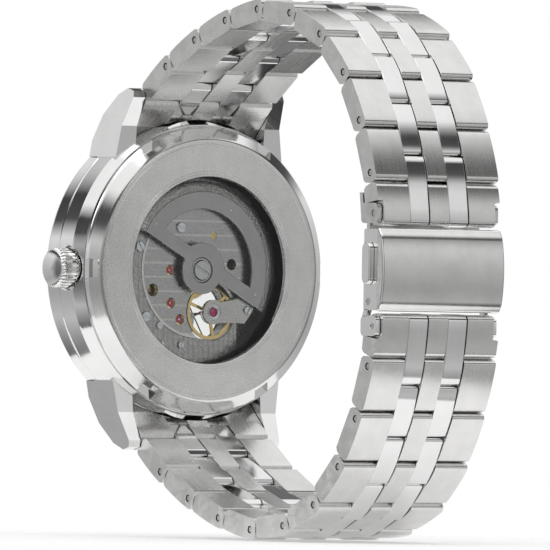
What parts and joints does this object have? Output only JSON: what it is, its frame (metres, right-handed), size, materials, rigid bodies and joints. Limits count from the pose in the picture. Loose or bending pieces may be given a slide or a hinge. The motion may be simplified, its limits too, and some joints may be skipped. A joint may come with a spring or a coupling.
{
  "type": "skeleton wristwatch",
  "caption": "Automatic wristwatch with a glazed back showing the movement, on a five-column steel bracelet with a folding push-button clasp.",
  "frame": {"origin": "centre of the back's flat outer face, on the watch's axis", "axes": "+Z toward 12 o'clock, +X toward 3 o'clock and the crown, +Y out of the back toward the wrist and the clasp; the dial faces -Y"},
  "size_m": [0.0454, 0.0672, 0.0752],
  "materials": {
    "polished_steel": "mirror-polished stainless steel with fine hairlines",
    "brushed_steel": "satin brushed stainless steel with polished bevels",
    "bracelet_steel": "brushed outer and centre columns, polished intermediate columns",
    "clasp_steel": "satin stainless steel",
    "pin_steel": "turned steel",
    "crystal": "clear mineral glass",
    "gasket_rubber": "black nitrile rubber",
    "holder_plastic": "dark matte plastic",
    "dial_paint": "dark sunray lacquer",
    "hand_steel": "polished rhodium plate",
    "movement_plate": "rhodium-plated brass with straight striping and pearling",
    "rotor_metal": "plated heavy metal, grained, polished bevels",
    "train_brass": "gilt brass wheels",
    "escapement_steel": "polished steel",
    "balance_gold": "gilt beryllium bronze",
    "hairspring_blue": "blued alloy",
    "ruby": "synthetic ruby"
  },
  "bodies": {
    "case": {"case_middle": "polished_steel", "bezel": "polished_steel", "front_crystal": "crystal", "case_back": "brushed_steel", "back_crystal": "crystal", "back_gasket": "gasket_rubber", "movement_holder": "holder_plastic", "crown_tube": "polished_steel", "dial": "dial_paint", "hour_markers": "hand_steel", "main_plate": "movement_plate", "train_bridge": "movement_plate", "balance_cock": "movement_plate", "bridge_screws": "pin_steel", "jewels": "ruby", "rotor_bearing": "pin_steel", "end_links": "brushed_steel", "lug_spring_bars": "pin_steel"},
    "crown_slide": {"crown_gasket": "gasket_rubber"},
    "crown": {"crown": "polished_steel", "crown_stem": "pin_steel"},
    "rotor": {"rotor": "rotor_metal"},
    "barrel": {"mainspring_barrel": "train_brass"},
    "center_wheel": {"center_wheel": "train_brass", "minute_hand": "hand_steel"},
    "hour_wheel": {"hour_hand": "hand_steel"},
    "third_wheel": {"third_wheel": "train_brass"},
    "fourth_wheel": {"fourth_wheel": "train_brass"},
    "seconds_wheel": {"seconds_hand": "hand_steel"},
    "escape_wheel": {"escape_wheel": "escapement_steel"},
    "pallet_fork": {"pallet_fork": "escapement_steel"},
    "balance": {"balance_wheel": "balance_gold", "hairspring": "hairspring_blue"},
    "link_upper_01": {"link_upper_01": "bracelet_steel"},
    "link_upper_02": {"link_upper_02": "bracelet_steel"},
    "link_upper_03": {"link_upper_03": "bracelet_steel"},
    "link_upper_04": {"link_upper_04": "bracelet_steel"},
    "link_upper_05": {"link_upper_05": "bracelet_steel"},
    "link_upper_06": {"link_upper_06": "bracelet_steel"},
    "link_upper_07": {"link_upper_07": "bracelet_steel"},
    "link_upper_08": {"link_upper_08": "bracelet_steel"},
    "link_upper_09": {"link_upper_09": "bracelet_steel"},
    "link_upper_10": {"link_upper_10": "bracelet_steel"},
    "link_lower_01": {"link_lower_01": "bracelet_steel"},
    "link_lower_02": {"link_lower_02": "bracelet_steel"},
    "link_lower_03": {"link_lower_03": "bracelet_steel"},
    "link_lower_04": {"link_lower_04": "bracelet_steel"},
    "link_lower_05": {"link_lower_05": "bracelet_steel"},
    "link_lower_06": {"link_lower_06": "bracelet_steel"},
    "link_lower_07": {"link_lower_07": "bracelet_steel"},
    "link_lower_08": {"link_lower_08": "bracelet_steel"},
    "link_lower_09": {"link_lower_09": "bracelet_steel"},
    "link_lower_10": {"link_lower_10": "bracelet_steel"},
    "folding_blade": {"clasp_folding_blade": "clasp_steel"},
    "inner_blade": {"clasp_inner_blade": "clasp_steel", "clasp_blade_pin": "pin_steel"},
    "clasp_cover": {"clasp_cover": "brushed_steel", "clasp_cover_pins": "pin_steel"},
    "button_left": {"clasp_button_left": "clasp_steel"},
    "button_right": {"clasp_button_right": "clasp_steel"}
  },
  "joints": [
    {"name": "link_upper_01_hinge", "type": "hinge", "parent": "case", "child": "link_upper_01", "pos_m": [0, -0.0023, 0.024], "axis": [1, 0, 0], "range_deg": [0, 8]},
    {"name": "link_upper_02_hinge", "type": "hinge", "parent": "link_upper_01", "child": "link_upper_02", "pos_m": [0, 0.00393, 0.02853], "axis": [1, 0, 0], "range_deg": [0, 8]},
    {"name": "link_upper_03_hinge", "type": "hinge", "parent": "link_upper_02", "child": "link_upper_03", "pos_m": [0, 0.01073, 0.03214], "axis": [1, 0, 0], "range_deg": [0, 8]},
    {"name": "link_upper_04_hinge", "type": "hinge", "parent": "link_upper_03", "child": "link_upper_04", "pos_m": [0, 0.01796, 0.03477], "axis": [1, 0, 0], "range_deg": [0, 9]},
    {"name": "link_upper_05_hinge", "type": "hinge", "parent": "link_upper_04", "child": "link_upper_05", "pos_m": [0, 0.02552, 0.03624], "axis": [1, 0, 0], "range_deg": [0, 16]},
    {"name": "link_upper_06_hinge", "type": "hinge", "parent": "link_upper_05", "child": "link_upper_06", "pos_m": [0, 0.03319, 0.03557], "axis": [1, 0, 0], "range_deg": [0, 18]},
    {"name": "link_upper_07_hinge", "type": "hinge", "parent": "link_upper_06", "child": "link_upper_07", "pos_m": [0, 0.04028, 0.03256], "axis": [1, 0, 0], "range_deg": [0, 21]},
    {"name": "link_upper_08_hinge", "type": "hinge", "parent": "link_upper_07", "child": "link_upper_08", "pos_m": [0, 0.04582, 0.02722], "axis": [1, 0, 0], "range_deg": [0, 16]},
    {"name": "link_upper_09_hinge", "type": "hinge", "parent": "link_upper_08", "child": "link_upper_09", "pos_m": [0, 0.04967, 0.02055], "axis": [1, 0, 0], "range_deg": [0, 10]},
    {"name": "link_upper_10_hinge", "type": "hinge", "parent": "link_upper_09", "child": "link_upper_10", "pos_m": [0, 0.0523, 0.01331], "axis": [1, 0, 0], "range_deg": [0, 12]},
    {"name": "link_lower_01_hinge", "type": "hinge", "parent": "case", "child": "link_lower_01", "pos_m": [0, -0.0023, -0.024], "axis": [-1, 0, 0], "range_deg": [0, 8]},
    {"name": "link_lower_02_hinge", "type": "hinge", "parent": "link_lower_01", "child": "link_lower_02", "pos_m": [0, 0.00393, -0.02853], "axis": [-1, 0, 0], "range_deg": [0, 8]},
    {"name": "link_lower_03_hinge", "type": "hinge", "parent": "link_lower_02", "child": "link_lower_03", "pos_m": [0, 0.01073, -0.03214], "axis": [-1, 0, 0], "range_deg": [0, 8]},
    {"name": "link_lower_04_hinge", "type": "hinge", "parent": "link_lower_03", "child": "link_lower_04", "pos_m": [0, 0.01796, -0.03477], "axis": [-1, 0, 0], "range_deg": [0, 9]},
    {"name": "link_lower_05_hinge", "type": "hinge", "parent": "link_lower_04", "child": "link_lower_05", "pos_m": [0, 0.02552, -0.03624], "axis": [-1, 0, 0], "range_deg": [0, 16]},
    {"name": "link_lower_06_hinge", "type": "hinge", "parent": "link_lower_05", "child": "link_lower_06", "pos_m": [0, 0.03319, -0.03557], "axis": [-1, 0, 0], "range_deg": [0, 18]},
    {"name": "link_lower_07_hinge", "type": "hinge", "parent": "link_lower_06", "child": "link_lower_07", "pos_m": [0, 0.04028, -0.03256], "axis": [-1, 0, 0], "range_deg": [0, 21]},
    {"name": "link_lower_08_hinge", "type": "hinge", "parent": "link_lower_07", "child": "link_lower_08", "pos_m": [0, 0.04582, -0.02722], "axis": [-1, 0, 0], "range_deg": [0, 16]},
    {"name": "link_lower_09_hinge", "type": "hinge", "parent": "link_lower_08", "child": "link_lower_09", "pos_m": [0, 0.04967, -0.02055], "axis": [-1, 0, 0], "range_deg": [0, 10]},
    {"name": "link_lower_10_hinge", "type": "hinge", "parent": "link_lower_09", "child": "link_lower_10", "pos_m": [0, 0.0523, -0.01331], "axis": [-1, 0, 0], "range_deg": [0, 12]},
    {"name": "folding_blade_hinge", "type": "hinge", "parent": "link_upper_10", "child": "folding_blade", "pos_m": [0, 0.05308, 0.00777], "axis": [1, 0, 0], "range_deg": [0, 60]},
    {"name": "inner_blade_hinge", "type": "hinge", "parent": "folding_blade", "child": "inner_blade", "pos_m": [0, 0.0472, 0.019], "axis": [1, 0, 0], "range_deg": [-120, 0]},
    {"name": "clasp_cover_hinge", "type": "hinge", "parent": "inner_blade", "child": "clasp_cover", "pos_m": [0, 0.0521, -0.0044], "axis": [1, 0, 0], "range_deg": [-150, 0]},
    {"name": "button_left_push", "type": "slide", "parent": "clasp_cover", "child": "button_left", "axis": [-1, 0, 0], "range_m": [0, 0.0008], "stiffness_N_per_m": 2500},
    {"name": "button_right_push", "type": "slide", "parent": "clasp_cover", "child": "button_right", "axis": [1, 0, 0], "range_m": [0, 0.0008], "stiffness_N_per_m": 2500},
    {"name": "crown_pull", "type": "slide", "parent": "case", "child": "crown_slide", "axis": [1, 0, 0], "range_m": [0, 0.001]},
    {"name": "crown_turn", "type": "hinge", "parent": "crown_slide", "child": "crown", "pos_m": [0.022, -0.005, 0], "axis": [1, 0, 0], "continuous": true},
    {"name": "rotor_spin", "type": "hinge", "parent": "case", "child": "rotor", "pos_m": [0, -0.002, 0], "axis": [0, 1, 0], "continuous": true},
    {"name": "minute_spin", "type": "hinge", "parent": "case", "child": "center_wheel", "pos_m": [0, -0.0051, 0], "axis": [0, 1, 0], "continuous": true},
    {"name": "hour_spin", "type": "hinge", "parent": "case", "child": "hour_wheel", "pos_m": [0, -0.0075, 0], "axis": [0, 1, 0], "continuous": true},
    {"name": "third_spin", "type": "hinge", "parent": "case", "child": "third_wheel", "pos_m": [0.00468, -0.0045, -0.00003], "axis": [0, 1, 0], "continuous": true},
    {"name": "fourth_spin", "type": "hinge", "parent": "case", "child": "fourth_wheel", "pos_m": [0.0045, -0.0042, -0.0047], "axis": [0, 1, 0], "continuous": true},
    {"name": "seconds_spin", "type": "hinge", "parent": "case", "child": "seconds_wheel", "pos_m": [0, -0.0045, 0], "axis": [0, 1, 0], "continuous": true},
    {"name": "escape_spin", "type": "hinge", "parent": "case", "child": "escape_wheel", "pos_m": [0.0029, -0.0046, -0.007], "axis": [0, 1, 0], "continuous": true},
    {"name": "barrel_spin", "type": "hinge", "parent": "case", "child": "barrel", "pos_m": [-0.00287, -0.0045, 0.00497], "axis": [0, 1, 0], "continuous": true},
    {"name": "pallet_rock", "type": "hinge", "parent": "case", "child": "pallet_fork", "pos_m": [0.00025, -0.0046, -0.00647], "axis": [0, 1, 0], "range_deg": [-5, 5]},
    {"name": "balance_swing", "type": "hinge", "parent": "case", "child": "balance", "pos_m": [-0.0026, -0.0036, -0.0059], "axis": [0, 1, 0], "range_deg": [-150, 150], "stiffness_Nm_per_rad": 0.000002}
  ],
  "couplings": [
    {"joint": "link_upper_02_hinge", "follows": "link_upper_01_hinge", "ratio": 1},
    {"joint": "link_upper_03_hinge", "follows": "link_upper_01_hinge", "ratio": 1},
    {"joint": "link_upper_04_hinge", "follows": "link_upper_01_hinge", "ratio": 1.125},
    {"joint": "link_upper_05_hinge", "follows": "link_upper_01_hinge", "ratio": 2},
    {"joint": "link_upper_06_hinge", "follows": "link_upper_01_hinge", "ratio": 2.25},
    {"joint": "link_upper_07_hinge", "follows": "link_upper_01_hinge", "ratio": 2.625},
    {"joint": "link_upper_08_hinge", "follows": "link_upper_01_hinge", "ratio": 2},
    {"joint": "link_upper_09_hinge", "follows": "link_upper_01_hinge", "ratio": 1.25},
    {"joint": "link_upper_10_hinge", "follows": "link_upper_01_hinge", "ratio": 1.5},
    {"joint": "link_lower_02_hinge", "follows": "link_lower_01_hinge", "ratio": 1},
    {"joint": "link_lower_03_hinge", "follows": "link_lower_01_hinge", "ratio": 1},
    {"joint": "link_lower_04_hinge", "follows": "link_lower_01_hinge", "ratio": 1.125},
    {"joint": "link_lower_05_hinge", "follows": "link_lower_01_hinge", "ratio": 2},
    {"joint": "link_lower_06_hinge", "follows": "link_lower_01_hinge", "ratio": 2.25},
    {"joint": "link_lower_07_hinge", "follows": "link_lower_01_hinge", "ratio": 2.625},
    {"joint": "link_lower_08_hinge", "follows": "link_lower_01_hinge", "ratio": 2},
    {"joint": "link_lower_09_hinge", "follows": "link_lower_01_hinge", "ratio": 1.25},
    {"joint": "link_lower_10_hinge", "follows": "link_lower_01_hinge", "ratio": 1.5},
    {"joint": "folding_blade_hinge", "follows": "link_lower_01_hinge", "ratio": 7.5},
    {"joint": "inner_blade_hinge", "follows": "link_lower_01_hinge", "ratio": -15},
    {"joint": "clasp_cover_hinge", "follows": "link_lower_01_hinge", "ratio": -18.75},
    {"joint": "minute_spin", "follows": "fourth_spin", "ratio": 0.016667},
    {"joint": "hour_spin", "follows": "fourth_spin", "ratio": 0.0013889},
    {"joint": "third_spin", "follows": "fourth_spin", "ratio": -0.13333},
    {"joint": "seconds_spin", "follows": "fourth_spin", "ratio": 1},
    {"joint": "escape_spin", "follows": "fourth_spin", "ratio": -9},
    {"joint": "barrel_spin", "follows": "fourth_spin", "ratio": -0.0023148}
  ]
}
